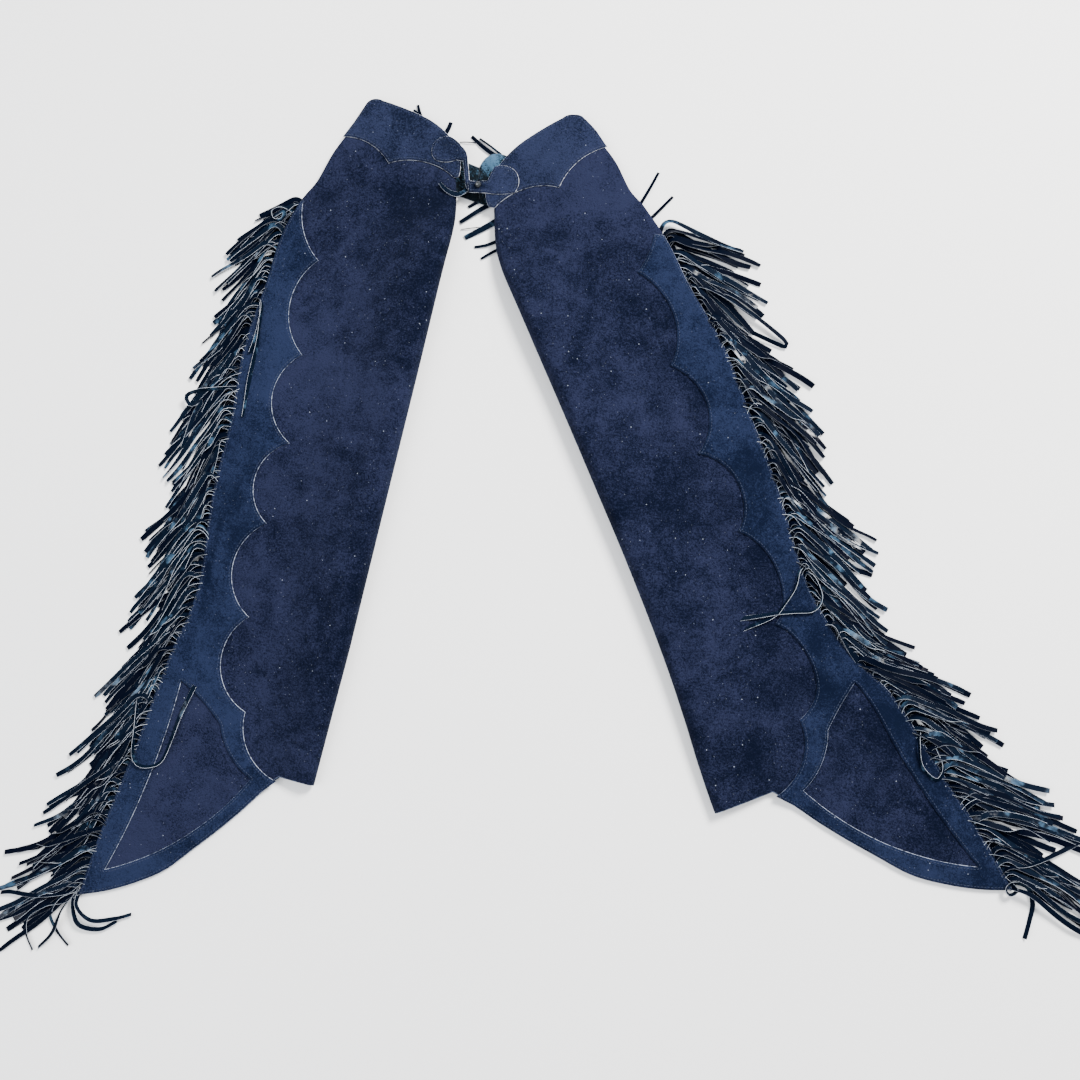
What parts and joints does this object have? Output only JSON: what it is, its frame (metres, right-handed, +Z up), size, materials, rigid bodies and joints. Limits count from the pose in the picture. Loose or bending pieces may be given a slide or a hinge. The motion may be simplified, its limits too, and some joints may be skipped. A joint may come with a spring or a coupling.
{
  "type": "fringed leather chaps, laid flat",
  "caption": "Navy suede riding chaps laid flat with the front up: wrapped legs, scalloped outer strips running into heel flares, yokes snapped at the waist, and long seam fringe.",
  "frame": {"origin": "on the floor under the middle of the whole garment, fringe included", "axes": "+X to the right across both legs, +Y to the waist, +Z up from the floor through the front layer"},
  "size_m": [1.3016, 1.0823, 0.0295],
  "materials": {
    "main_suede": "matt napped suede, greyish navy",
    "trim_suede": "matt napped suede, bluer navy, pale raw edges",
    "back_suede": "suede with a paler blue reverse",
    "fringe_leather": "navy suede on one side, smooth dark and slightly glossy on the other",
    "snap_metal": "dark nickel"
  },
  "bodies": {
    "root": {"left_leg": "main_suede", "left_flare_strip": "trim_suede", "left_front_yoke": "trim_suede", "left_front_tab": "trim_suede", "left_back_yoke": "back_suede", "left_back_fringe": "fringe_leather", "left_leg_fringe": "fringe_leather", "right_leg": "main_suede", "right_flare_strip": "trim_suede", "right_front_yoke": "trim_suede", "right_front_tab": "trim_suede", "right_back_yoke": "back_suede", "right_back_fringe": "fringe_leather", "right_leg_fringe": "fringe_leather", "front_snap": "snap_metal"}
  },
  "joints": []
}
